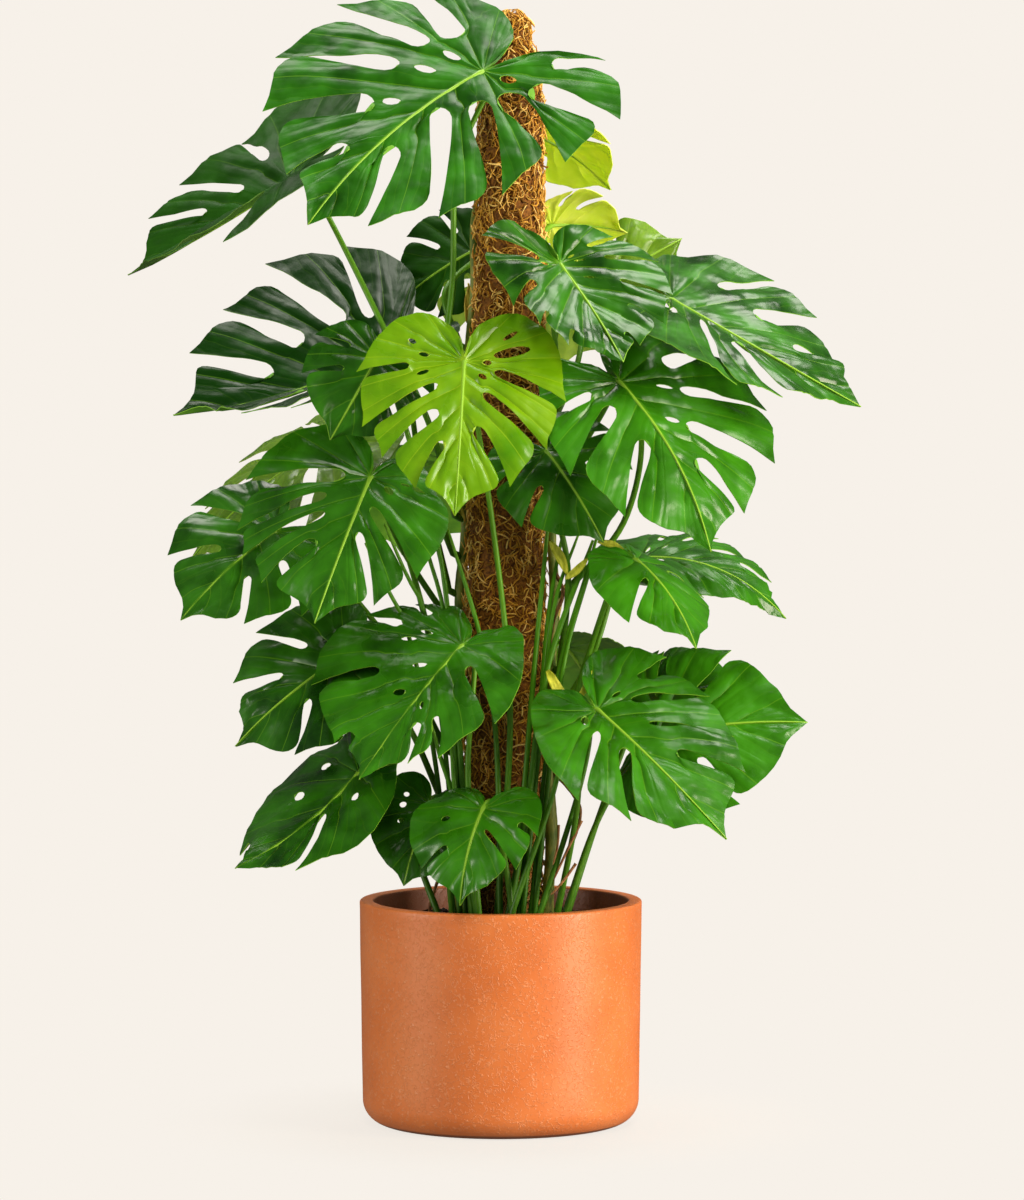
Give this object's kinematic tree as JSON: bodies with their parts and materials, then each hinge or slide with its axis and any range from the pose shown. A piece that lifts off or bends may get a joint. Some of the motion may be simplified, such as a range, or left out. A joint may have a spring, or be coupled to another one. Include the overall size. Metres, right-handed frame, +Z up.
{
  "type": "potted swiss cheese vine",
  "caption": "Potted swiss cheese vine with split and holed leaves on long stalks, climbing a coir pole in a terracotta cylinder pot.",
  "frame": {"origin": "middle of the pot's flat base, on the surface it stands on", "axes": "+Z up along the pot's axis, -Y the front that the picture shows, +X to the right in the picture"},
  "size_m": [0.7743, 0.5517, 1.204],
  "materials": {
    "terracotta": "satin fired clay",
    "soil": "matte crumbly potting mix",
    "coir": "coarse fibre",
    "wood": "raw softwood",
    "stem": "green bark with dry papery sheaths",
    "leaf": "glossy dark green leaf",
    "young_leaf": "glossy yellow-green leaf",
    "root": "dry brown root"
  },
  "bodies": {
    "root": {"pot": "terracotta", "pole_stake": "wood", "coir_sleeve": "coir", "vine_stem_1": "stem", "vine_stem_2": "stem", "vine_stem_3": "stem", "vine_stem_4": "stem", "leaf_01": "leaf", "leaf_02": "leaf", "leaf_03": "leaf", "leaf_04": "leaf", "leaf_05": "young_leaf", "leaf_06": "leaf", "leaf_07": "leaf", "leaf_08": "leaf", "leaf_09": "leaf", "leaf_10": "leaf", "leaf_11": "leaf", "leaf_12": "leaf", "leaf_13": "leaf", "leaf_14": "leaf", "leaf_15": "leaf", "leaf_16": "leaf", "leaf_17": "leaf", "leaf_18": "leaf", "leaf_19": "leaf", "leaf_20": "leaf", "leaf_21": "leaf", "leaf_22": "leaf", "leaf_23": "young_leaf", "leaf_24": "young_leaf", "leaf_25": "leaf", "leaf_26": "leaf", "leaf_27": "leaf", "leaf_28": "leaf", "leaf_29": "leaf", "aerial_root_1": "root", "aerial_root_2": "root", "aerial_root_3": "root", "aerial_root_4": "root", "potting_soil": "soil"}
  },
  "joints": []
}
